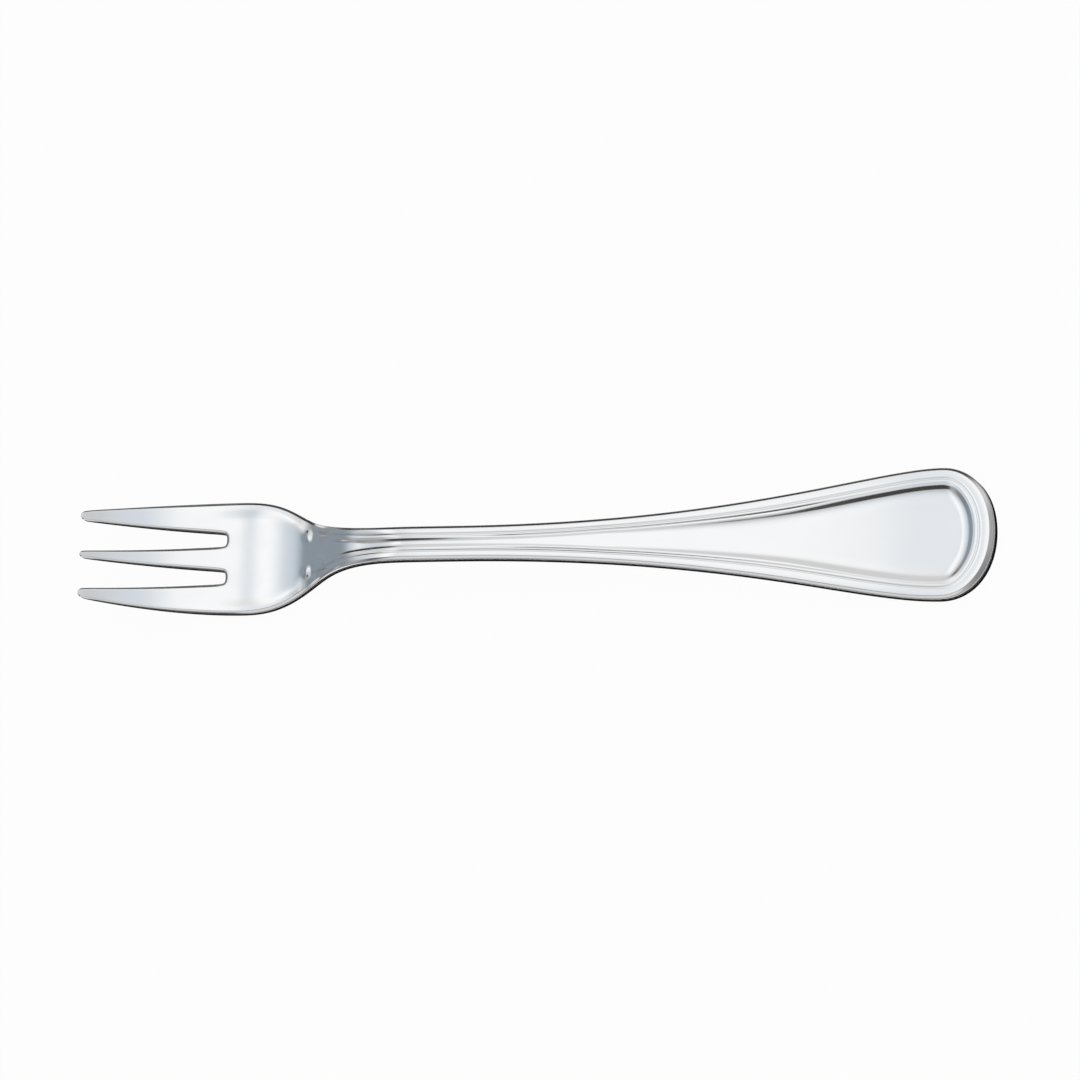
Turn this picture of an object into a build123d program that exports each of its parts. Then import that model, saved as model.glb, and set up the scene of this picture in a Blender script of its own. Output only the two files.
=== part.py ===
from build123d import *
import os

# Oyster fork: one stamped blank of stainless steel, written as the named sections that it is shaped into.
# X runs along the fork with the tine tips at -X, Y across it, Z up. Z = 0 is the table that it rests on,
# tines up, and the origin is under the middle of its length. Millimetres.

# Plan view, driving dimensions
overall_length = 143.0
tip_span = 13.5
head_width = 17.4
head_widest_from_tip = 24.3
stem_width = 5.1
stem_start_from_tip = 49.4
stem_straight_length = 10.4
handle_width = 20.1
handle_widest_from_end = 8.4

# Side view, driving dimensions: heights of the underside above the table, and thicknesses
tip_height = 7.5
tip_thickness = 1.1
head_thickness = 1.9
bowl_pad_from_tip = 29.6
bowl_pad_length = 4.0
crest_from_tip = 47.2
crest_height = 5.75
stem_thickness = 2.7
handle_thickness = 2.7
handle_rest_length = 19.8

# Slots between the tines
slot_spacing = 5.85
slot_width_at_tip = 4.75
slot_width_at_root = 2.1
slot_length = 21.45
tip_corner_radius = 0.6

# Border of the handle: outer bead, thread groove, inner thread, then the recessed panel
bead_width = 1.6
stem_bead_width = 1.25
end_bead_width = 2.0
groove_width = 0.3
groove_depth = 0.25
border_width = 2.75
stem_border_width = 1.95
end_border_width = 3.2
recess_depth = 0.6
panel_start_from_tip = 41.0

# Where one section of the blank hands over to the next, from the tine tips
head_end_from_tip = 36.0
neck_end_from_tip = 49.4
stem_end_from_tip = 84.0

# Fullness of the curves: how far each curve keeps its end direction, as a part of its own run
shoulder_fullness = 0.43
neck_fullness = 0.68
taper_fullness = 0.58
belly_fullness = 0.16
end_fullness = 0.59
tine_edge_fullness = 0.45
rise_fullness = 0.4
fall_fullness = 0.14

# Places worked out from the driving dimensions
x_tip = -overall_length / 2
x_end = overall_length / 2
x_head = x_tip + head_widest_from_tip
x_stem = x_tip + stem_start_from_tip
x_taper = x_stem + stem_straight_length
x_handle = x_end - handle_widest_from_end
x_bowl_start = x_tip + bowl_pad_from_tip - bowl_pad_length / 2
x_bowl_end = x_bowl_start + bowl_pad_length
x_crest = x_tip + crest_from_tip
x_rest = x_end - handle_rest_length
slot_root_radius = slot_width_at_root / 2
x_slot_round = x_tip + slot_length - slot_root_radius
clear = 2.0
tall = crest_height + tip_height + stem_thickness + clear
wide = max(handle_width, head_width) + clear


def soft_curve(start, end, start_fullness, end_fullness):
    """A curve between two points that leaves and arrives along X."""
    run = end[0] - start[0]
    return Bezier(
        start,
        (start[0] + start_fullness * run, start[1]),
        (end[0] - end_fullness * run, end[1]),
        end,
    )


def handle_half(start_x, stem_inset, side_inset, end_inset):
    """One side of the stem and handle, drawn in from the outer edge by the three insets."""
    stem_y = stem_width / 2 - stem_inset
    side_y = handle_width / 2 - side_inset
    nose_x = x_end - end_inset
    nose = nose_x - x_handle
    return [
        Line((start_x, stem_y), (x_taper, stem_y)),
        soft_curve((x_taper, stem_y), (x_handle, side_y), taper_fullness, belly_fullness),
        Bezier(
            (x_handle, side_y),
            (x_handle + end_fullness * nose, side_y),
            (nose_x, end_fullness * side_y),
            (nose_x, 0),
        ),
    ]


def closed_face(half, start_x, start_y):
    """The face between a half outline, its mirror image and a straight edge across its start."""
    both = half + [mirror(edge, Plane.XZ) for edge in half]
    return make_face(both + [Line((start_x, start_y), (start_x, -start_y))])


def handle_face(start_x, stem_inset, side_inset, end_inset):
    half = handle_half(start_x, stem_inset, side_inset, end_inset)
    return closed_face(half, start_x, stem_width / 2 - stem_inset)


def plan_face():
    """The whole outline from above, without its slots."""
    tip_y = tip_span / 2
    head_y = head_width / 2
    run = x_head - x_tip
    tine_edge = Bezier((x_tip, tip_y), (x_head - tine_edge_fullness * run, head_y), (x_head, head_y))
    shoulder = soft_curve((x_head, head_y), (x_stem, stem_width / 2), shoulder_fullness, neck_fullness)
    return closed_face([tine_edge, shoulder] + handle_half(x_stem, 0, 0, 0), x_tip, tip_y)


def slot_face(centre_y):
    """One tapered slot with a round root, open past the tips."""
    mouth_x = x_tip - clear
    slope = (slot_width_at_tip - slot_width_at_root) / 2 / (x_slot_round - x_tip)
    mouth_y = slot_width_at_tip / 2 + slope * clear
    lower_mouth = (mouth_x, centre_y - mouth_y)
    upper_mouth = (mouth_x, centre_y + mouth_y)
    lower_root = (x_slot_round, centre_y - slot_root_radius)
    upper_root = (x_slot_round, centre_y + slot_root_radius)
    deepest = (x_slot_round + slot_root_radius, centre_y)
    return make_face(
        [
            Line(upper_mouth, lower_mouth),
            Line(lower_mouth, lower_root),
            ThreePointArc(lower_root, deepest, upper_root),
            Line(upper_root, upper_mouth),
        ]
    )


def side_curve(tip_z, bowl_z, crest_z, rest_z):
    """A line of the side view from the tips to the handle end, through its four heights."""
    rise_run = x_bowl_start - x_tip
    return [
        Bezier((x_tip, tip_z), (x_tip + rise_run / 2, bowl_z), (x_bowl_start, bowl_z)),
        Line((x_bowl_start, bowl_z), (x_bowl_end, bowl_z)),
        soft_curve((x_bowl_end, bowl_z), (x_crest, crest_z), rise_fullness, rise_fullness),
        soft_curve((x_crest, crest_z), (x_rest, rest_z), fall_fullness, fall_fullness),
        Line((x_rest, rest_z), (x_end, rest_z)),
    ]


def top_curve(drop):
    """The upper line of the side view, lowered by drop."""
    return side_curve(
        tip_height + tip_thickness - drop,
        head_thickness - drop,
        crest_height + stem_thickness - drop,
        handle_thickness - drop,
    )


def side_prism(lower, upper):
    """The space across the whole width between two lines of the side view."""
    ends = [Line(lower[0] @ 0, upper[0] @ 0), Line(lower[-1] @ 1, upper[-1] @ 1)]
    face = Plane.XZ * make_face(lower + upper + ends)
    return extrude(face, wide / 2, both=True)


def space_above(drop):
    """Everything above the upper surface lowered by drop."""
    ceiling = [Line((x_tip, tall), (x_end, tall))]
    return side_prism(top_curve(drop), ceiling)


def section(start_x, end_x):
    """The block of space between two places along the fork."""
    middle = ((start_x + end_x) / 2, 0, tall / 2)
    return Pos(*middle) * Box(end_x - start_x, 2 * wide, 2 * tall)


def one_solid(shape):
    return shape.solids().sort_by(SortBy.VOLUME)[-1]


# Blank: the outline from above, cut to the side view, with its slots
underside = side_curve(tip_height, 0, crest_height, 0)
blank = extrude(plan_face(), tall) & side_prism(underside, top_curve(0))
for side in (-1, 1):
    blank -= extrude(slot_face(side * slot_spacing / 2), tall)

# Recessed panel and the groove between bead and inner thread
x_panel = x_tip + panel_start_from_tip
panel = handle_face(x_panel, stem_border_width, border_width, end_border_width)
blank -= extrude(panel, tall) & space_above(recess_depth)
groove_outer = handle_face(x_panel, stem_bead_width, bead_width, end_bead_width)
groove_inner = handle_face(
    x_panel,
    stem_bead_width + groove_width,
    bead_width + groove_width,
    end_bead_width + groove_width,
)
blank -= extrude(groove_outer - groove_inner, tall) & space_above(groove_depth)

# Sections that meet face to face
x_neck = x_tip + head_end_from_tip
x_stem_start = x_tip + neck_end_from_tip
x_stem_end = x_tip + stem_end_from_tip
sections = {
    "head": one_solid(blank & section(x_slot_round, x_neck)),
    "neck": one_solid(blank & section(x_neck, x_stem_start)),
    "stem": one_solid(blank & section(x_stem_start, x_stem_end)),
    "handle": one_solid(blank & section(x_stem_end, x_end + clear)),
}

# Tines, with the corners of their tips rounded
tines = (blank & section(x_tip - clear, x_slot_round)).solids().sort_by(Axis.Y)
for name, tine in zip(("tine_left", "tine_middle", "tine_right"), tines):
    tip_edges = tine.edges().filter_by(Axis.Z).group_by(Axis.X)[0]
    tip_width = tip_edges.sort_by(Axis.Y)[-1].center().Y - tip_edges.sort_by(Axis.Y)[0].center().Y
    sections[name] = tine.fillet(min(tip_corner_radius, 0.45 * tip_width), tip_edges)

os.makedirs("parts", exist_ok=True)
for name, solid in sections.items():
    export_step(solid, f"parts/{name}.step")
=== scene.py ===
import math

import bmesh
import bpy
from mathutils import Matrix, Vector


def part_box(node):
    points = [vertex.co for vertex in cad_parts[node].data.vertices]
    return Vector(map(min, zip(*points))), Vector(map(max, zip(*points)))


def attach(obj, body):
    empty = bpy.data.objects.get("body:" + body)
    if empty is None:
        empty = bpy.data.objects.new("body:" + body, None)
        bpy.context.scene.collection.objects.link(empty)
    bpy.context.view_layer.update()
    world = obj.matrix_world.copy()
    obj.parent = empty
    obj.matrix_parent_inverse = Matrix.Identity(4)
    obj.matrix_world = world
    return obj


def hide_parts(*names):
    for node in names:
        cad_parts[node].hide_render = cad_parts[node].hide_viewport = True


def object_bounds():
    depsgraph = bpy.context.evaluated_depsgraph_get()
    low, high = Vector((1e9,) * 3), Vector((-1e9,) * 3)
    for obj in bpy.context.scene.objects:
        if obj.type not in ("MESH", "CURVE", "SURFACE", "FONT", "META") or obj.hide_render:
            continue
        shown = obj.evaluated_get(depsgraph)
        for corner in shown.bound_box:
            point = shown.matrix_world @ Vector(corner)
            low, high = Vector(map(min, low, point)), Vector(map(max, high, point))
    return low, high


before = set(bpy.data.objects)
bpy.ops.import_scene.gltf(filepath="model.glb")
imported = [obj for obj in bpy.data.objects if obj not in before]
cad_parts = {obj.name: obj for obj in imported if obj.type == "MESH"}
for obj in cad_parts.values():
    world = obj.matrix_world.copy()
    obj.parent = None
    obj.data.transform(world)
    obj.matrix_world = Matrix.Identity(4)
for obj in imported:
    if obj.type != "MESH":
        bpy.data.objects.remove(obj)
cad_low, cad_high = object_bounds()

# Places of the fork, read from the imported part, in millimetres
MM = 0.001
x_tip = cad_low.x / MM
x_end = cad_high.x / MM
x_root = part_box("head")[0].x / MM
x_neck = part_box("neck")[0].x / MM
x_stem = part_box("stem")[0].x / MM
x_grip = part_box("handle")[0].x / MM
head_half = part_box("head")[1].y / MM
handle_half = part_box("handle")[1].y / MM

# Plan view
tip_half = 6.75
x_head = x_tip + 24.3
stem_half = 2.55
x_taper = x_stem + 10.4
x_widest = x_end - 8.4
tine_edge_fullness = 0.45
shoulder_fullness = 0.43
neck_fullness = 0.68
taper_fullness = 0.58
belly_fullness = 0.16
end_fullness = 0.59

# Side view: heights of the underside and thicknesses
tip_height = 7.5
tip_thickness = 1.1
head_thickness = 1.9
crest_height = 5.75
stem_thickness = 2.7
x_bowl_start = x_tip + 27.6
x_bowl_end = x_tip + 32.1
x_crest = x_tip + 51.0
x_rest = x_end - 19.8
x_level = x_end - 13.5
rise_start_fullness = 0.33
rise_end_fullness = 0.70
fall_start_fullness = 0.08
rest_fullness = 0.13
level_fullness = 0.22

# Slots between the tines
slot_centre = 2.925
slot_half_at_tip = 2.375
slot_half_at_root = 1.05
slot_corner = 0.65
tip_round = 0.62

# Lines that run along the fork, counted from the middle line to the edge
EDGE_LINE = 18
PANEL_LINE = 7
SLOT_IN = 4
SLOT_OUT = 10

# Each line's distance from the edge, from the edge inward: edge, bead, bead, groove, thread, thread crest,
# thread, second groove, second thread, recess wall, wall foot, panel. In the neck each line has a share of
# the half width instead, measured from the middle.
STEM_INSET = (0.44, 0.80, 1.12, 1.27, 1.42, 1.56, 1.68, 1.76, 1.84, 2.02, 2.20, 2.36)
SIDE_INSET = (0.44, 1.00, 1.50, 1.66, 1.82, 2.02, 2.24, 2.42, 2.62, 3.04, 3.46, 4.60)
NOSE_INSET = (0.66, 1.35, 2.10, 2.30, 2.48, 2.68, 2.92, 3.08, 3.26, 3.60, 3.96, 5.00)
NECK_SHARE = (1.0, 0.896, 0.802, 0.729, 0.667, 0.592, 0.535, 0.49, 0.445, 0.40, 0.36, 0.3125)

# Height of each of those lines below the bead, of the second thread's lines where it shows, and how far the
# wall has sunk to the panel
LINE_DROP = (0.045, 0.0, 0.02, 0.115, 0.035, 0.0, 0.03, 0.02, 0.0, 0.0, 0.0, 0.0)
SECOND_DROP = (0.0, 0.0, 0.0, 0.0, 0.0, 0.0, 0.02, 0.11, 0.04, 0.0, 0.0, 0.0)
WALL_SHARE = (0.0, 0.0, 0.0, 0.0, 0.0, 0.0, 0.0, 0.10, 0.16, 0.50, 0.82, 1.0)
tine_edge_drop = 0.027
neck_recess = 0.28
taper_recess = 0.17
grip_recess = 0.62

# Where the lines change: along X from the head's spread to the neck's and then to the stem's, and in the
# handle by the half width and by the way outward
head_to_neck = (-44.0, -37.0)
neck_to_stem = (-36.0, -25.0)
stem_to_side = (2.6, 7.0)
side_to_nose = (0.2, 1.0)

# Where the relief comes and goes along X
threads_start = (-37.3, -33.5)
second_start = (-12.0, 4.0)
second_end = (38.0, 50.0)
panel_start = (-33.5, -28.0)
panel_shallows = (-23.0, -6.0)
panel_deepens = (8.0, 46.0)

# Edge round the whole fork: an upper facet, a wall with a slight waist and a thin flared foot. Each ring has
# its inset as a share of the edge's width, the face that its height is measured from, that height and the
# strength of the dark line painted on it, a painted reflection of the dark surroundings that the edge
# mirrors.
edge_inset_at_tip = 0.22
edge_inset = 0.44
EDGE_RINGS = (
    (0.92, "top", 0.065, 0.0),
    (0.50, "top", 0.195, 0.7),
    (0.10, "top", 0.32, 1.0),
    (0.00, "top", 0.37, 1.0),
    (0.00, "top", 0.48, 1.0),
    (0.03, "top", 0.62, 0.0),
    (0.32, "under", 0.95, 0.0),
    (0.52, "under", 0.52, 0.0),
    (0.50, "under", 0.42, 0.8),
    (0.14, "under", 0.32, 1.0),
    (0.00, "under", 0.24, 1.0),
    (0.06, "under", 0.08, 1.0),
    (0.40, "under", 0.02, 0.0),
    (1.00, "under", 0.00, 0.0),
)
full_edge_thickness = 2.15
rise_flattening = 0.8
flattening_run = 3.0
underside_lift = 0.08
lift_power = 3

# Strength of the painted dark line, a painted reflection, on the upper part of the edge
tip_line = 0.35
tine_line = 0.65
upper_line = 0.5
tip_line_end = (x_tip + 0.6, x_tip + 3.0)
tine_line_end = (x_root + 2.0, x_root + 6.0)

# Middle line of the upper face, which dips in the head's dish and swells up where the neck grows out of it
x_dish_start = x_tip + 15.5
x_dish = x_tip + 25.2
dish_height = 1.62
dish_fullness = 0.33
dish_end_fullness = 0.40
scoop_start_fullness = 0.25
x_scoop = x_tip + 33.9
scoop_height = 2.53
scoop_slope = 0.306
scoop_fullness = 0.34
x_channel = x_tip + 44.2
channel_height = 7.50
channel_slope = 0.05
x_swell_end = x_tip + 52.5
swell_fullness = 0.35
dish_flat_share = 0.65
neck_flat_share = 0.10
flat_share_change = (x_scoop - 1.0, x_scoop + 2.6)
full_share = 0.97
least_half = 1.0

# Rounded start of the raised threads at the neck
nub_x = x_tip + 34.9
nub_y = 2.84
nub_front = 0.70
nub_back = 0.80
nub_flat = 0.15
nub_reach = 1.35
nub_height = 0.34


def ramp(value, start, end):
    """Smooth rise from 0 at start to 1 at end."""
    t = min(1.0, max(0.0, (value - start) / (end - start)))
    return t * t * (3 - 2 * t)


def mix(a, b, share):
    return a + (b - a) * share


def soft_curve(start, end, start_fullness, end_fullness, start_slope=0.0, end_slope=0.0):
    """A curve between two points that leaves and arrives at the given slopes."""
    start_run = start_fullness * (end[0] - start[0])
    end_run = end_fullness * (end[0] - start[0])
    after_start = (start[0] + start_run, start[1] + start_slope * start_run)
    before_end = (end[0] - end_run, end[1] - end_slope * end_run)
    return (start, after_start, before_end, end)


def on_curve(curve, t):
    points = [Vector(p) for p in curve]
    while len(points) > 1:
        points = [a.lerp(b, t) for a, b in zip(points, points[1:])]
    return points[0]


def outward(curve, t):
    """Direction across a curve of the outline, away from the fork."""
    step = 0.001
    run = on_curve(curve, min(1.0, t + step)) - on_curve(curve, max(0.0, t - step))
    return Vector((-run.y, run.x)).normalized()


def find(curves, x):
    """The curve of a chain, and the place on it, at x along the fork."""
    curve = next((c for c in curves if x <= c[-1][0]), curves[-1])
    low, high = 0.0, 1.0
    halvings = 40
    for _ in range(halvings):
        middle = (low + high) / 2
        if on_curve(curve, middle).x < x:
            low = middle
        else:
            high = middle
    return curve, (low + high) / 2


run_to_head = x_head - x_tip
nose_run = x_end - x_widest
NOSE = (
    (x_widest, handle_half),
    (x_widest + end_fullness * nose_run, handle_half),
    (x_end, end_fullness * handle_half),
    (x_end, 0.0),
)
OUTLINE = (
    ((x_tip, tip_half), (x_head - tine_edge_fullness * run_to_head, head_half), (x_head, head_half)),
    soft_curve((x_head, head_half), (x_stem, stem_half), shoulder_fullness, neck_fullness),
    ((x_stem, stem_half), (x_taper, stem_half)),
    soft_curve((x_taper, stem_half), (x_widest, handle_half), taper_fullness, belly_fullness),
)


def side_curves(tip_z, bowl_z, crest_z, rest, end_fullness):
    """A line of the side view from the tips to the handle end."""
    x_rise = (x_tip + x_bowl_start) / 2
    return (
        ((x_tip, tip_z), (x_rise, bowl_z), (x_bowl_start, bowl_z)),
        ((x_bowl_start, bowl_z), (x_bowl_end, bowl_z)),
        soft_curve((x_bowl_end, bowl_z), (x_crest, crest_z), rise_start_fullness, rise_end_fullness),
        soft_curve((x_crest, crest_z), rest, fall_start_fullness, end_fullness),
        (rest, (x_end, rest[1])),
    )


TOP = side_curves(
    tip_height + tip_thickness,
    head_thickness,
    crest_height + stem_thickness,
    (x_level, stem_thickness),
    level_fullness,
)
UNDER = side_curves(tip_height, 0.0, crest_height, (x_rest, 0.0), rest_fullness)


def top_height(x):
    return on_curve(*find(TOP, x)).y


def under_height(x):
    return on_curve(*find(UNDER, x)).y


def top_slope(x):
    step = 0.01
    return (top_height(x + step) - top_height(x - step)) / (2 * step)


DISH_START = (x_dish_start, top_height(x_dish_start))
DISH = (x_dish, dish_height)
SCOOP = (x_scoop, scoop_height)
CHANNEL = (x_channel, channel_height)
SWELL_END = (x_swell_end, top_height(x_swell_end))
MIDDLE = (
    soft_curve(DISH_START, DISH, dish_fullness, dish_fullness, top_slope(x_dish_start), 0.0),
    soft_curve(DISH, SCOOP, dish_end_fullness, scoop_start_fullness, 0.0, scoop_slope),
    soft_curve(SCOOP, CHANNEL, scoop_fullness, scoop_fullness, scoop_slope, channel_slope),
    soft_curve(CHANNEL, SWELL_END, swell_fullness, swell_fullness, channel_slope, top_slope(x_swell_end)),
)


def rim(x):
    """How far the upper face stops short of the edge."""
    return mix(edge_inset_at_tip, edge_inset, ramp(x, x_tip, x_root))


class Row:
    """One row across the fork: a point of the outline, the way outward there and the row's middle point."""

    def __init__(self, curve, t, turn, spine=None):
        self.edge = on_curve(curve, t)
        true_way = outward(curve, t)
        self.way = Vector((0.0, 1.0)).lerp(true_way, turn).normalized()
        self.stretch = 1 / self.way.dot(true_way)
        half_lean = self.way.x / max(self.way.y, least_way_y) * self.edge.y / 2
        self.spine = self.edge.x - half_lean if spine is None else spine

    def inward(self, inset):
        return self.edge - self.way * (inset * self.stretch)


def spread(start, end, count, power):
    """Places from after start up to end: power above 1 crowds them at the start, below -1 at the end."""
    steps = [i / count for i in range(1, count + 1)]
    if power < 0:
        return [end - (end - start) * (1 - t) ** -power for t in steps]
    return [start + (end - start) * t**power for t in steps]


# Rows of each section: how many, and how they crowd
TINE_ROWS = (11, 1.0)
HEAD_ROWS = (18, -1.7)
NECK_ROWS = (15, 1.4)
STEM_ROWS = (17, 1.0)
GRIP_ROWS = (24, 1.0)
first_tine_row = 1.0
tip_angle = math.radians(74)
root_angle = math.radians(58)
x_root_row = x_root + (slot_half_at_root + edge_inset) * math.cos(root_angle)
root_row_gap = 0.6
turn_run = 25.0
least_way_y = 0.2
nose_steps = 14
x_fan = x_widest + 3.2

ROW_PLACES = [x_tip + tip_round]
ROW_PLACES += [x_tip + first_tine_row] + spread(x_tip + first_tine_row, x_root, *TINE_ROWS)
TINE_END = len(ROW_PLACES) - 1
ROW_PLACES.append(x_root_row)
ROOT_ROW = len(ROW_PLACES) - 1
ROW_PLACES += spread(x_root_row + root_row_gap, x_neck, *HEAD_ROWS)
NECK_ROW = len(ROW_PLACES) - 1
ROW_PLACES += spread(x_neck, x_stem, *NECK_ROWS)
STEM_ROW = len(ROW_PLACES) - 1
ROW_PLACES += spread(x_stem, x_grip, *STEM_ROWS)
GRIP_ROW = len(ROW_PLACES) - 1
ROW_PLACES += spread(x_grip, x_widest, *GRIP_ROWS)


def row_at(x):
    """A row that runs straight across up to the handle and then turns to lean with the outline."""
    curve, t = find(OUTLINE, x)
    return Row(curve, t, ramp(x, x_grip, x_grip + turn_run), x if x <= x_grip else None)


ROWS = [row_at(x) for x in ROW_PLACES]
for i in range(1, nose_steps + 1):
    ROWS.append(Row(NOSE, i / nose_steps, 1.0, mix(x_widest, x_fan, i / nose_steps)))
LAST_ROW = len(ROWS) - 1
ROWS[LAST_ROW].edge = Vector((x_end, 0.0))
ROWS[LAST_ROW].way = Vector((1.0, 0.0))


def slot_half(x):
    return mix(slot_half_at_tip, slot_half_at_root, (x - x_tip) / (x_root - x_tip))


def tip_seat(middle, half, share):
    """A point of a tine's rounded tip and the way outward there; share runs from -1 to 1 across the tip."""
    angle = share * tip_angle
    point = Vector((x_tip + tip_round * (1 - math.cos(angle)), middle + half * math.sin(angle)))
    return point, Vector((-math.cos(angle) / tip_round, math.sin(angle) / half)).normalized()


def seat(row, line):
    """The point where a line meets the true edge on the +Y side, and the way outward there."""
    here = ROWS[row]
    if row == 0:
        if line <= SLOT_IN:
            return tip_seat(0.0, slot_centre - slot_half_at_tip, line / SLOT_IN)
        low, high = slot_centre + slot_half_at_tip, tip_half
        share = 2 * (line - SLOT_OUT) / (EDGE_LINE - SLOT_OUT) - 1
        return tip_seat((low + high) / 2, (high - low) / 2, share)
    if line == EDGE_LINE:
        return here.edge, here.way * here.stretch
    if row == ROOT_ROW:
        angle = root_angle * (line - (SLOT_IN + SLOT_OUT) / 2) / ((SLOT_OUT - SLOT_IN) / 2)
        cos, sin = math.cos(angle), math.sin(angle)
        reach = slot_half_at_root
        square = Vector((reach * cos**slot_corner, math.copysign(reach * abs(sin) ** slot_corner, sin)))
        return Vector((x_root, slot_centre)) + square, Vector((-cos, -sin))
    side = -1 if line == SLOT_IN else 1
    return Vector((here.edge.x, slot_centre + side * slot_half(here.edge.x))), Vector((0.0, -side))


def lane_place(row, line):
    """Plan place of a line in the tines and in the row round the slot roots."""
    on_edge = row == 0 or line == EDGE_LINE
    in_slot = row == ROOT_ROW and SLOT_IN <= line <= SLOT_OUT
    if on_edge or in_slot or line in (SLOT_IN, SLOT_OUT):
        point, way = seat(row, line)
        return point - way * rim(point.x)
    if line < SLOT_IN:
        outer = lane_place(row, SLOT_IN)
        return Vector((ROWS[row].edge.x, outer.y * line / SLOT_IN))
    inner, outer = lane_place(row, SLOT_OUT), lane_place(row, EDGE_LINE)
    share = (line - SLOT_OUT) / (EDGE_LINE - SLOT_OUT)
    return Vector((ROWS[row].edge.x, mix(inner.y, outer.y, share)))


def border(table, line):
    """A border table's value for a line; the panel's lines share it out evenly to the middle."""
    return table[EDGE_LINE - line] if line >= PANEL_LINE else table[-1] * line / PANEL_LINE


def neck_place(row, line):
    """Plan place of a line in the head, neck and stem, where rows run straight across."""
    here = ROWS[row]
    reach = here.edge.y - rim(here.edge.x) * here.stretch
    root_share = lane_place(ROOT_ROW, line).y / lane_place(ROOT_ROW, EDGE_LINE).y
    head_y = root_share * reach
    neck_y = border(NECK_SHARE, line) * reach
    if line >= PANEL_LINE:
        stem_y = here.inward(border(STEM_INSET, line)).y
    else:
        stem_y = here.inward(STEM_INSET[-1]).y * line / PANEL_LINE
    x = here.edge.x
    y = mix(mix(head_y, neck_y, ramp(x, *head_to_neck)), stem_y, ramp(x, *neck_to_stem))
    return Vector((x, y))


def grip_inset(row, line):
    """Distance of a border line from the edge in the handle, from the stem's to the side's to the nose's."""
    here = ROWS[row]
    side = mix(border(STEM_INSET, line), border(SIDE_INSET, line), ramp(here.edge.y, *stem_to_side))
    return mix(side, border(NOSE_INSET, line), ramp(here.way.x, *side_to_nose))


def grip_place(row, line):
    """Plan place of a line in the handle, where rows lean with the outline and fan round its end."""
    here = ROWS[row]
    if line < PANEL_LINE:
        return Vector((here.spine, 0.0)).lerp(grip_place(row, PANEL_LINE), line / PANEL_LINE)
    return here.inward(grip_inset(row, line))


def plan_place(row, line):
    size = abs(line)
    if row <= ROOT_ROW:
        place = lane_place(row, size)
    elif row <= GRIP_ROW:
        place = neck_place(row, size)
    else:
        place = grip_place(row, size)
    return Vector((place.x, math.copysign(place.y, line)))


def dish(row, place):
    """Depth of the head's dish at a place; below nothing where the neck swells up."""
    if not x_dish_start < place.x < x_swell_end:
        return 0.0
    depth = top_height(place.x) - on_curve(*find(MIDDLE, place.x)).y
    across = abs(place.y) / max(ROWS[row].edge.y, least_half)
    flat_share = mix(dish_flat_share, neck_flat_share, ramp(place.x, *flat_share_change))
    return depth * (1 - ramp(across, flat_share, full_share))


def nub(place):
    """Height of the threads' rounded starts, which are level where the neck rises."""
    along = place.x - nub_x
    length = ramp(along, -nub_front, 0.0) * min(1.0, max(0.0, 1 - along / nub_back))
    return nub_height * length * (1 - ramp(abs(abs(place.y) - nub_y), nub_flat, nub_reach))


def recess(x):
    """Depth of the panel below the border along the stem and handle."""
    depth = mix(neck_recess, taper_recess, ramp(x, *panel_shallows))
    return mix(depth, grip_recess, ramp(x, *panel_deepens)) * ramp(x, *panel_start)


def relief(row, line, place):
    """How far the upper face lies below the plain side view at a line."""
    size = abs(line)
    if row <= ROOT_ROW:
        round_slot = row == ROOT_ROW and SLOT_IN <= size <= SLOT_OUT
        at_edge = row == 0 or round_slot or size in (SLOT_IN, SLOT_OUT, EDGE_LINE)
        return dish(row, place) + (tine_edge_drop if at_edge else 0.0)
    x = ROWS[row].edge.x
    carved = border(LINE_DROP, size) * (ramp(x, *threads_start) if size < EDGE_LINE else 1.0)
    carved += border(SECOND_DROP, size) * ramp(x, *second_start) * (1 - ramp(x, *second_end))
    sunk = border(WALL_SHARE, size) if size >= PANEL_LINE else 1.0
    return carved + sunk * recess(x) + dish(row, place) - nub(place)


def belly(row, line):
    """Share of the underside's lift towards the edges."""
    size = abs(line)
    if row < ROOT_ROW:
        if size <= SLOT_IN:
            return size / SLOT_IN
        middle_of_tine = (SLOT_OUT + EDGE_LINE) / 2
        return abs(size - middle_of_tine) / (EDGE_LINE - middle_of_tine)
    return size / EDGE_LINE


def thickness_scale(x):
    return min(1.0, (top_height(x) - under_height(x)) / full_edge_thickness)


def lifted(row, line, x):
    return underside_lift * thickness_scale(x) * belly(row, line) ** lift_power


def upper_point(row, line):
    place = plan_place(row, line)
    z = top_height(place.x) - relief(row, line, place)
    return Vector((place.x, place.y, z)) * MM


def under_point(row, line):
    place = plan_place(row, line)
    z = under_height(place.x) + lifted(row, line, place.x)
    return Vector((place.x, place.y, z)) * MM


def edge_point(row, line, ring):
    """A point of one of the rings that lead from the upper face round the edge to the underside."""
    inset, side, height, _ = ring
    point, way = seat(row, abs(line))
    width = grip_inset(row, EDGE_LINE) if row > GRIP_ROW else rim(point.x)
    place = point - way * (inset * width)
    upper = top_height(place.x) - dish(row, place)
    lower = under_height(place.x)
    if side == "top":
        rising = max(0.0, top_slope(place.x)) * ramp(place.x, x_neck, x_neck + flattening_run)
        z = upper - height * (1 - rise_flattening * rising) * width / edge_inset
    else:
        scale = min(1.0, (upper - lower) / full_edge_thickness)
        z = lower + lifted(row, line, place.x) + height * scale
    return Vector((place.x, math.copysign(place.y, line), z)) * MM


def painted_reflection_strength(ring, x):
    """Strength of the painted dark line on a ring, a painted reflection of the dark surroundings: full on the
    foot, weaker above it, and thinner past the tines.
    """
    _, side, _, dark = ring
    if side == "under":
        return dark
    along_tines = mix(tip_line, tine_line, ramp(x, *tip_line_end))
    past_tines = upper_line if dark == 1.0 else 0.0
    return dark * mix(along_tines, past_tines, ramp(x, *tine_line_end))


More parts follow.
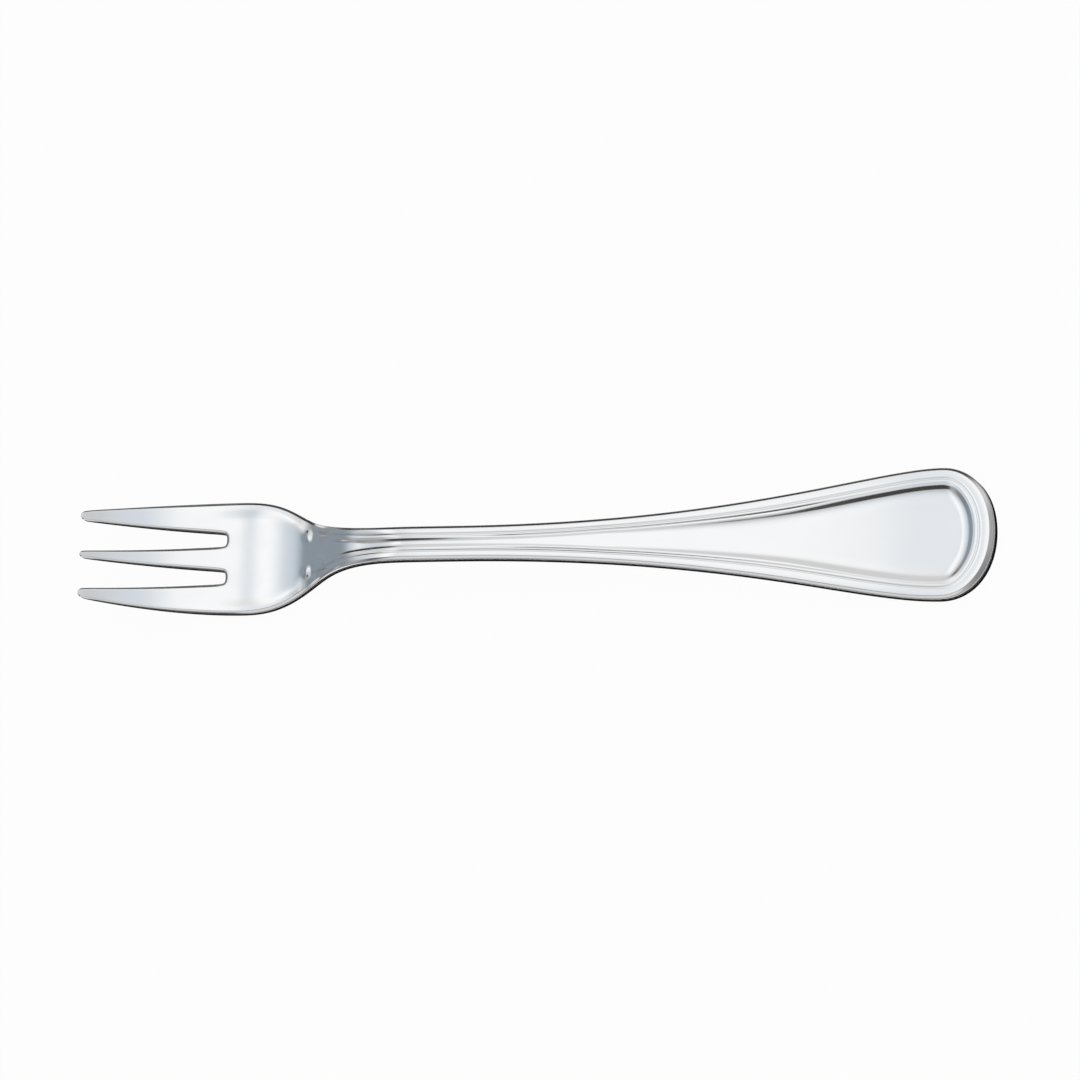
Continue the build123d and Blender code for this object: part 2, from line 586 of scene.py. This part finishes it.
SECTIONS = ("tine_left", "tine_middle", "tine_right", "head", "neck", "stem", "handle")
weld_distance = 1e-7
rounding_levels = 2


def section_of(rows, lines):
    """Place in SECTIONS of the section that a face belongs to, from the rows and lines of its corners."""
    first = min(rows)
    if first < TINE_END:
        if max(abs(line) for line in lines) <= SLOT_IN:
            return 1
        return 0 if min(lines) < 0 else 2
    if first < NECK_ROW:
        return 3
    if first < STEM_ROW:
        return 4
    return 5 if first < GRIP_ROW else 6


def stamp_fork():
    """The whole fork as one closed skin of four-sided faces, each marked with its section."""
    bm = bmesh.new()
    row_of = bm.verts.layers.int.new("row")
    line_of = bm.verts.layers.int.new("line")
    # Strength of the painted dark line along the edges, a painted reflection of the dark surroundings
    painted_reflection_line = bm.verts.layers.float.new("painted_reflection_line")
    bmesh.ops.create_grid(bm, x_segments=LAST_ROW, y_segments=2 * EDGE_LINE, size=1)
    for v in bm.verts:
        v[row_of] = round((v.co.x + 1) / 2 * LAST_ROW)
        v[line_of] = round(v.co.y * EDGE_LINE)

    def in_slot(v):
        return v[row_of] <= ROOT_ROW and SLOT_IN <= abs(v[line_of]) <= SLOT_OUT

    slots = [f for f in bm.faces if all(in_slot(v) for v in f.verts)]
    bmesh.ops.delete(bm, geom=slots, context="FACES")
    for v in bm.verts:
        v.co = upper_point(v[row_of], v[line_of])
    nose_seam = [v for v in bm.verts if v[row_of] == LAST_ROW]
    bmesh.ops.remove_doubles(bm, verts=nose_seam, dist=weld_distance)

    upper = list(bm.faces)
    under = bmesh.ops.duplicate(bm, geom=upper)["geom"]
    under_faces = [g for g in under if isinstance(g, bmesh.types.BMFace)]
    bmesh.ops.reverse_faces(bm, faces=under_faces)
    for g in under:
        if isinstance(g, bmesh.types.BMVert):
            g.co = under_point(g[row_of], g[line_of])

    upper_set = set(upper)
    skirt = [e for e in bm.edges if e.is_boundary and e.link_faces[0] in upper_set]
    for ring in EDGE_RINGS:
        grown = bmesh.ops.extrude_edge_only(bm, edges=skirt)["geom"]
        for g in grown:
            if isinstance(g, bmesh.types.BMVert):
                g.co = edge_point(g[row_of], g[line_of], ring)
                g[painted_reflection_line] = painted_reflection_strength(ring, g.co.x / MM)
        skirt = [g for g in grown if isinstance(g, bmesh.types.BMEdge) and g.is_boundary]
    bmesh.ops.remove_doubles(bm, verts=bm.verts, dist=weld_distance)
    poles = [v for v in bm.verts if v[row_of] == LAST_ROW and v[line_of] == 0]
    bmesh.ops.dissolve_verts(bm, verts=poles)
    bmesh.ops.recalc_face_normals(bm, faces=bm.faces)
    for f in bm.faces:
        f.smooth = True
        f.material_index = section_of([v[row_of] for v in f.verts], [v[line_of] for v in f.verts])
    return bm


def smooth_skin(bm):
    """The skin rounded by a subdivision surface, as a plain mesh."""
    mesh = bpy.data.meshes.new("fork_skin")
    bm.to_mesh(mesh)
    bm.free()
    for name in SECTIONS:
        mesh.materials.append(bpy.data.materials.new("mark_" + name))
    holder = bpy.data.objects.new("fork_skin", mesh)
    bpy.context.scene.collection.objects.link(holder)
    rounding = holder.modifiers.new("rounding", "SUBSURF")
    rounding.levels = rounding_levels
    rounding.render_levels = rounding_levels
    depsgraph = bpy.context.evaluated_depsgraph_get()
    skin = bpy.data.meshes.new_from_object(holder.evaluated_get(depsgraph), depsgraph=depsgraph)
    bpy.data.objects.remove(holder)
    bpy.data.meshes.remove(mesh)
    return skin


def cut_section(skin, index, material):
    """One section of the skin as a closed piece; its faces keep the shading of the whole fork."""
    name = SECTIONS[index]
    bm = bmesh.new()
    bm.from_mesh(skin)
    shade = bm.verts.layers.float_vector.new("shade")
    for v in bm.verts:
        v[shade] = v.normal
    others = [f for f in bm.faces if f.material_index != index]
    bmesh.ops.delete(bm, geom=others, context="FACES")
    open_edges = [e for e in bm.edges if e.is_boundary]
    caps = bmesh.ops.holes_fill(bm, edges=open_edges, sides=0)["faces"]
    for f in caps:
        f.smooth = False
        corner = f.loops[0]
        if corner.link_loop_radial_next.vert == corner.vert:
            f.normal_flip()
    for f in bm.faces:
        f.material_index = 0
    bm.normal_update()
    cap_set = set(caps)
    normals = []
    for f in bm.faces:
        normals += [tuple(f.normal if f in cap_set else v[shade]) for v in f.verts]
    mesh = bpy.data.meshes.new("polished_" + name)
    bm.to_mesh(mesh)
    bm.free()
    mesh.materials.clear()
    mesh.materials.append(material)
    mesh.normals_split_custom_set(normals)
    piece = bpy.data.objects.new("polished_" + name, mesh)
    bpy.context.scene.collection.objects.link(piece)
    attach(piece, "root")
    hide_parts(name)


class Value:
    """A number that varies over a surface, as a socket of a node tree."""

    def __init__(self, nodes, socket):
        self.nodes = nodes
        self.socket = socket

    def _math(self, operation, a, b):
        return self.nodes.add("ShaderNodeMath", {"operation": operation}, {0: a, 1: b})

    def __add__(self, other):
        return self._math("ADD", self, other)

    def __radd__(self, other):
        return self._math("ADD", other, self)

    def __sub__(self, other):
        return self._math("SUBTRACT", self, other)

    def __rsub__(self, other):
        return self._math("SUBTRACT", other, self)

    def __mul__(self, other):
        return self._math("MULTIPLY", self, other)

    def __rmul__(self, other):
        return self._math("MULTIPLY", other, self)

    def output(self, name):
        """Another output of the same node."""
        return Value(self.nodes, self.socket.node.outputs[name])

    def ramp(self, start, end, low=0.0, high=1.0):
        """Smooth change from low at start to high at end."""
        inputs = {0: self, 1: start, 2: end, 3: low, 4: high}
        return self.nodes.add("ShaderNodeMapRange", {"interpolation_type": "SMOOTHSTEP"}, inputs)

    def toward(self, other, share):
        """This value moved a share of the way to another."""
        return self + (other - self) * share


class Nodes:
    """Adds nodes to the tree of a material or of the studio."""

    def __init__(self, tree):
        self.tree = tree

    def add(self, kind, settings=None, inputs=None, output=0):
        node = self.tree.nodes.new(kind)
        for key, value in (settings or {}).items():
            setattr(node, key, value)
        for key, value in (inputs or {}).items():
            if isinstance(value, Value):
                self.tree.links.new(value.socket, node.inputs[key])
            else:
                node.inputs[key].default_value = value
        return Value(self, node.outputs[output]) if node.outputs else node

    def mix_colors(self, share, a, b):
        """Colour a where share is 0 and colour b where it is 1."""
        return self.add("ShaderNodeMix", {"data_type": "RGBA"}, {0: share, 6: a, 7: b}, output=2)


def new_material(name):
    material = bpy.data.materials.new(name)
    material.use_nodes = True
    material.node_tree.nodes.clear()
    return material, Nodes(material.node_tree)


# Finish of the steel
steel_color = (0.78, 0.78, 0.78, 1.0)
# Painted dark reflection along the edges: its colour, and the span of the line's strength over which it sets
# in
painted_reflection_color = (0.015, 0.015, 0.017, 1.0)
painted_reflection_span = (0.25, 0.75)
wiping_scale = (60.0, 2600.0, 2600.0)
haze_scale = 140.0
wave_scale = (90.0, 260.0, 260.0)
wave_strength = 0.12
wave_depth = 0.0004
bare_roughness = 0.09
wiping_roughness = 0.06
haze_roughness = 0.06
dark_roughness = 0.75


def polished_steel():
    """Bright steel with wiping marks, a light haze and a faint wave, and a rough, dark painted line along its
    edges: a painted reflection of the dark surroundings.
    """
    material, nodes = new_material("polished_steel")
    place = nodes.add("ShaderNodeTexCoord", output="Object")
    along = nodes.add("ShaderNodeMapping", {}, {"Vector": place, "Scale": wiping_scale})
    marks = nodes.add("ShaderNodeTexNoise", {}, {"Vector": along, "Scale": 1.0, "Detail": 3.0})
    haze = nodes.add("ShaderNodeTexNoise", {}, {"Vector": place, "Scale": haze_scale, "Detail": 3.0})
    rolled = nodes.add("ShaderNodeMapping", {}, {"Vector": place, "Scale": wave_scale})
    waves = nodes.add("ShaderNodeTexNoise", {}, {"Vector": rolled, "Scale": 1.0, "Detail": 1.0})
    wavy = {"Strength": wave_strength, "Distance": wave_depth, "Height": waves}
    normal = nodes.add("ShaderNodeBump", {}, wavy)
    # Painted dark reflection: the edges' dark line, made rough, stands in for the dark surroundings that the
    # edges mirror
    line = nodes.add("ShaderNodeAttribute", {"attribute_name": "painted_reflection_line"}, output="Fac")
    painted_reflection = line.ramp(*painted_reflection_span)
    color = nodes.mix_colors(painted_reflection, steel_color, painted_reflection_color)
    polish = bare_roughness + wiping_roughness * marks + haze_roughness * haze
    roughness = polish.toward(dark_roughness, painted_reflection)
    shader = nodes.add(
        "ShaderNodeBsdfPrincipled",
        {},
        {"Base Color": color, "Metallic": 1.0, "Roughness": roughness, "Normal": normal},
    )
    nodes.add("ShaderNodeOutputMaterial", {}, {"Surface": shader})
    return material


# Table
white = (1.0, 1.0, 1.0, 1.0)
floor_color = (0.97, 0.955, 0.94, 1.0)
floor_white = 0.95
# Painted shade on the table beyond the tines: where it sets in, and its glow
floor_end = (-0.09, -0.05)
painted_shade_level = 0.3
floor_radius = 4.0
floor_segments = 64


def plain_floor():
    """White table, which the steel mirrors dimmer beyond the tines: a painted shade on the table, seen only
    in mirror rays.
    """
    material, nodes = new_material("plain_floor")
    camera_ray = nodes.add("ShaderNodeLightPath", output="Is Camera Ray")
    mirror_ray = camera_ray.output("Is Glossy Ray")
    seen = camera_ray + mirror_ray + camera_ray.output("Is Transmission Ray")
    lit = nodes.add("ShaderNodeBsdfDiffuse", {}, {"Color": floor_color})
    bright = nodes.add("ShaderNodeEmission", {}, {"Color": white, "Strength": 1.0})
    shader = nodes.add("ShaderNodeMixShader", {}, {0: floor_white * seen, 1: lit, 2: bright})
    # Painted shade: beyond the tines the table glows dimmer for mirror rays only
    place = nodes.add("ShaderNodeTexCoord", output="Object")
    x = nodes.add("ShaderNodeSeparateXYZ", {}, {0: place}, output="X")
    painted_shade_share = mirror_ray * (1 - x.ramp(*floor_end))
    painted_shade_glow = nodes.add("ShaderNodeEmission", {}, {"Color": white, "Strength": painted_shade_level})
    shader = nodes.add("ShaderNodeMixShader", {}, {0: painted_shade_share, 1: shader, 2: painted_shade_glow})
    nodes.add("ShaderNodeOutputMaterial", {}, {"Surface": shader})
    bm = bmesh.new()
    bmesh.ops.create_circle(bm, cap_ends=True, segments=floor_segments, radius=floor_radius)
    mesh = bpy.data.meshes.new("table_top")
    bm.to_mesh(mesh)
    bm.free()
    mesh.materials.append(material)
    floor = bpy.data.objects.new("table_top", mesh)
    bpy.context.scene.collection.objects.link(floor)


# Studio: the brightness of its parts and the span of directions over which each starts or ends. A panel or a
# fall also has the change that it makes, from nothing to its full amount.
ceiling_level = 0.93
middle_panel = (-0.34, -0.10, 0.0, 0.28)
left_panel = (0.31, 0.40, 0.0, 0.38)
right_fall = (0.06, 0.30, 0.0, 0.34)
right_end_fall = (0.30, 0.75, 0.0, 0.42)
left_fall = (0.39, 0.58, 0.0, 0.49)
left_end_fall = (0.60, 0.86, 0.0, 0.46)
near_fall = (-0.12, 0.30, 0.0, 0.32)
near_end_fall = (0.30, 0.50, 0.0, 0.15)
wall_level = 0.8
far_wall = (0.40, 0.75)
far_wall_fall = (0.55, 0.75, 0.0, 0.5)
near_wall_level = 0.85
near_wall = (0.66, 0.80)
foot_top = (0.34, 0.46)
right_foot = (-0.45, -0.15)
near_foot = (0.2, 0.35)
flag_level = 0.04
flag_start = (0.40, 0.50)
flag_end = (0.66, 0.78)
flag_bottom = (0.36, 0.46)
flag_left = (-0.60, -0.45)
flag_right = (0.02, 0.14)
strip_level = 0.03
strip_start = (0.55, 0.75)
strip_top = (0.27, 0.37)
dim_tint = (0.86, 1.0, 1.13, 1.0)
white_level = (0.4, 1.35)
white_near = (0.1, 0.4)
white_far = (0.35, 0.6)
white_right = (0.3, 0.6)


def studio_walls():
    """Pale studio round the table, as brightness by direction: x and left, y (far) and near, and z (up)."""
    world = bpy.data.worlds.new("studio_walls")
    bpy.context.scene.world = world
    world.use_nodes = True
    world.node_tree.nodes.clear()
    nodes = Nodes(world.node_tree)
    way = nodes.add("ShaderNodeTexCoord", output="Generated")
    x = nodes.add("ShaderNodeSeparateXYZ", {}, {0: way}, output="X")
    y, z = x.output("Y"), x.output("Z")
    left, near = -1 * x, -1 * y

    # Ceiling: a bright panel over the middle and one to the left, darker to both ends and to the near side
    level = ceiling_level + x.ramp(*middle_panel) + left.ramp(*left_panel)
    level = level - x.ramp(*right_fall) - x.ramp(*right_end_fall)
    level = level - left.ramp(*left_fall) - left.ramp(*left_end_fall)
    level = level * (1 - near.ramp(*near_fall)) * (1 - near.ramp(*near_end_fall))

    # Far wall, which darkens to the left, the near wall, and the pale foot of the right and near walls
    far_level = wall_level - left.ramp(*far_wall_fall)
    level = level.toward(far_level, y.ramp(*far_wall)).toward(near_wall_level, near.ramp(*near_wall))
    foot = 1 - z.ramp(*foot_top)
    level = level.toward(wall_level, foot * x.ramp(*right_foot))
    level = level.toward(wall_level, foot * near.ramp(*near_foot))

    # Black flag on the near side, which the handle's panel mirrors as its dark streak
    flag = near.ramp(*flag_start) * (1 - near.ramp(*flag_end)) * z.ramp(*flag_bottom)
    level = level.toward(flag_level, flag * x.ramp(*flag_left) * (1 - x.ramp(*flag_right)))

    # Black strip low on the far wall, which the far edge mirrors as its dark outline
    level = level.toward(strip_level, y.ramp(*strip_start) * (1 - z.ramp(*strip_top)))

    # Bluish where the ceiling is dim, white elsewhere
    neutral = level.ramp(*white_level) + near.ramp(*white_near) + y.ramp(*white_far) + x.ramp(*white_right)
    tint = nodes.mix_colors(neutral, dim_tint, white)
    light = nodes.add("ShaderNodeBackground", {}, {"Color": tint, "Strength": level})
    nodes.add("ShaderNodeOutputWorld", {}, {"Surface": light})


# Pieces
steel = polished_steel()
skin = smooth_skin(stamp_fork())
for index in range(len(SECTIONS)):
    cut_section(skin, index, steel)
bpy.data.meshes.remove(skin)

# Floor and light
plain_floor()
studio_walls()
scene = bpy.context.scene
scene.view_settings.view_transform = "Standard"

# Camera
view_x, view_y = 0.30, -0.22
view_way = Vector((view_x, view_y, math.sqrt(1 - view_x**2 - view_y**2)))
level_x = (Vector((1.0, 0.0, 0.0)) - view_way * view_way.x).normalized()
level_y = view_way.cross(level_x)
roll = math.radians(1.992)
camera_x = math.cos(roll) * level_x - math.sin(roll) * level_y
camera_y = math.sin(roll) * level_x + math.cos(roll) * level_y
camera_distance = 1.5
picture_width = 0.1636
aim_right = -0.264 * MM
aim_up = 1.601 * MM
camera = bpy.data.cameras.new("photo_camera")
camera.sensor_width = 36.0
camera.lens = camera.sensor_width * camera_distance / picture_width
camera.clip_end = 20.0
camera_object = bpy.data.objects.new("photo_camera", camera)
turned = Matrix((camera_x, camera_y, view_way)).transposed().to_4x4()
aim = camera_x * aim_right + camera_y * aim_up
camera_object.matrix_world = Matrix.Translation(view_way * camera_distance + aim) @ turned
scene.collection.objects.link(camera_object)
scene.camera = camera_object

bpy.context.view_layer.update()
